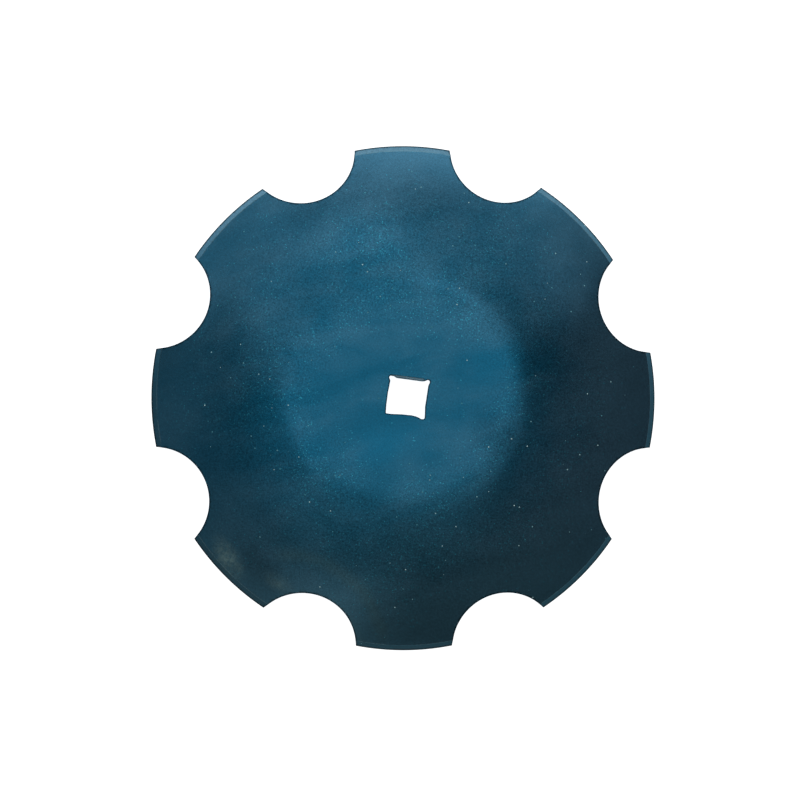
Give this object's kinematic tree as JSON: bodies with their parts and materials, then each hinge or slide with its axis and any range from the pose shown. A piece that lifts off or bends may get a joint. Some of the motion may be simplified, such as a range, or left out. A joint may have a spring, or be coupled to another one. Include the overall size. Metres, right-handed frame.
{
  "type": "harrow disc blade",
  "caption": "Dished disc harrow blade with a flat centre, a scalloped rim of round notches, bevelled tooth edges and a square axle hole.",
  "frame": {"origin": "on the axle's centreline, in the plane of the tooth edges that the blade lies on", "axes": "+Z along the axle, out of the convex face; +X and +Y along the sides of the square hole"},
  "size_m": [0.5599, 0.5599, 0.056],
  "materials": {
    "lacquered_steel": "glossy dark blue-green transparent lacquer over dark hardened plate steel, with light cloudiness, dust nibs and faint handling marks"
  },
  "bodies": {
    "root": {"disc_blade": "lacquered_steel"}
  },
  "joints": []
}
